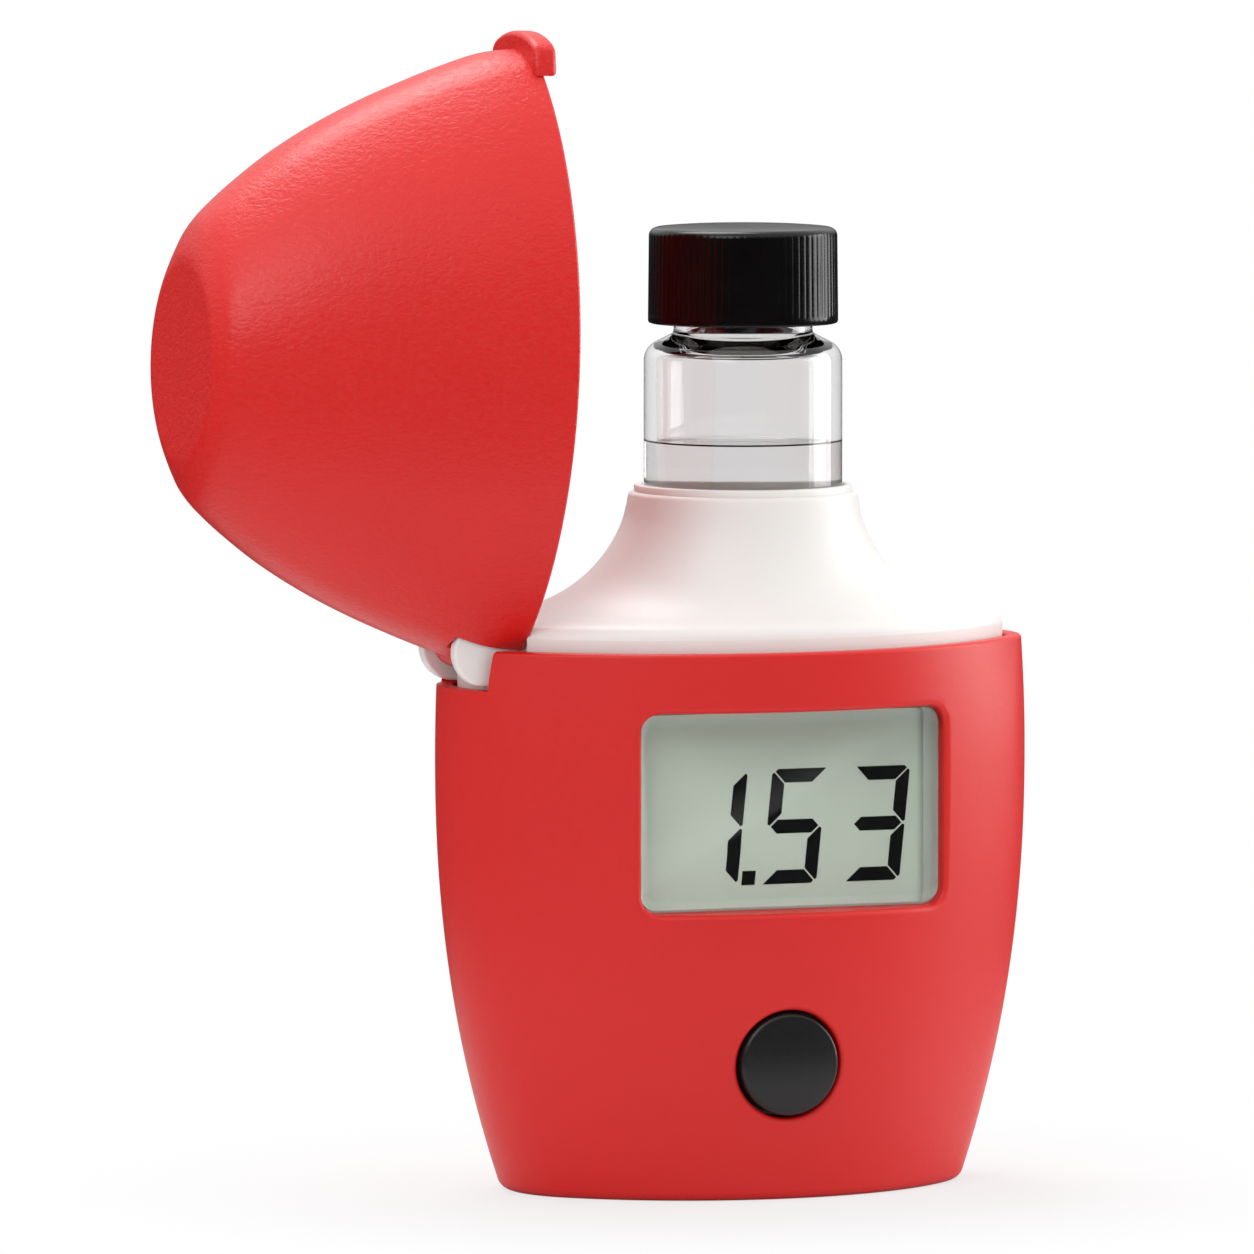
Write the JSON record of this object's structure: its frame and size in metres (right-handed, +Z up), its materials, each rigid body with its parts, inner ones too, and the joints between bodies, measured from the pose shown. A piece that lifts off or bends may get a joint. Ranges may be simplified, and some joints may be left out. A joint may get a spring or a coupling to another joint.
{
  "type": "pocket photometer",
  "caption": "Hand-held photometer: oval moulded case with a domed hinged lid, white trumpet neck, capped glass sample vial, liquid crystal display and one push button.",
  "frame": {"origin": "centre of the flat base, on the surface that the meter stands on", "axes": "+Z up, -Y out of the display, the lid's hinge at -X, the lid's thumb tab at +X when it is closed"},
  "size_m": [0.0853, 0.0371, 0.1114],
  "materials": {
    "red_case": "satin moulded",
    "red_lid": "fine moulded grain, soft sheen",
    "white_plastic": "satin moulded",
    "black_gloss": "gloss, fluted",
    "black_satin": "satin",
    "dark_plastic": "matt moulded",
    "black_rubber": "matt",
    "elastomer": "matt",
    "liner": "smooth",
    "steel": "nickel plated",
    "vial_glass": "clear",
    "sample_liquid": "clear liquid",
    "clear_lens": "clear, polished",
    "display_glass": "grey-green polariser",
    "lamp": "clear epoxy",
    "filter": "coated",
    "board": "solder mask",
    "cell": "plain jacket",
    "contact": "plated"
  },
  "bodies": {
    "case": {"body_shell": "red_case", "neck_insert": "white_plastic", "light_seal_ring": "black_rubber", "hinge_pin": "steel", "display_lens": "clear_lens", "display_glass": "display_glass", "display_frame": "dark_plastic", "connector_strip_upper": "elastomer", "connector_strip_lower": "elastomer", "tact_switch": "dark_plastic", "circuit_board": "board", "microcontroller": "dark_plastic", "board_screw_left": "steel", "board_screw_right": "steel", "photodetector": "dark_plastic", "light_emitting_diode": "lamp", "optical_filter": "filter", "inner_chassis": "dark_plastic", "contact_spring": "steel"},
    "lid": {"lid_shell": "red_lid"},
    "vial": {"vial_glass": "vial_glass", "sample_liquid": "sample_liquid"},
    "cap": {"vial_cap": "black_gloss", "cap_liner": "liner"},
    "button": {"button_cap": "black_satin"},
    "cell": {"battery_cell": "cell"},
    "cover": {"battery_cover": "dark_plastic", "cover_gasket": "black_rubber", "contact_plate": "contact"},
    "screw": {"cover_screw": "steel"}
  },
  "joints": [
    {"name": "lid_hinge", "type": "hinge", "parent": "case", "child": "lid", "pos_m": [-0.0251, 0, 0.0547], "axis": [0, 1, 0], "range_deg": [0, 88]},
    {"name": "vial_slide", "type": "slide", "parent": "case", "child": "vial", "axis": [0, 0, -1], "range_m": [0, 0.0124]},
    {"name": "cap_turn", "type": "hinge", "parent": "vial", "child": "cap", "pos_m": [0.00175, 0.0014, 0.0872], "axis": [0, 0, 1], "continuous": true},
    {"name": "button_press", "type": "slide", "parent": "case", "child": "button", "axis": [0, 1, 0], "range_m": [0, 0.0005], "stiffness_N_per_m": 250},
    {"name": "cell_slide", "type": "slide", "parent": "case", "child": "cell", "axis": [0, 0, -1], "range_m": [0, 0.03]},
    {"name": "cover_slide", "type": "slide", "parent": "case", "child": "cover", "axis": [0, 0, -1], "range_m": [0, 0.033]},
    {"name": "screw_turn", "type": "hinge", "parent": "cover", "child": "screw", "pos_m": [-0.0056, 0, 0.002], "axis": [0, 0, 1], "continuous": true}
  ],
  "couplings": [
    {"joint": "vial_slide", "follows": "lid_hinge", "m_per_rad": 0.00807},
    {"joint": "cover_slide", "follows": "cell_slide", "ratio": 1.1}
  ]
}
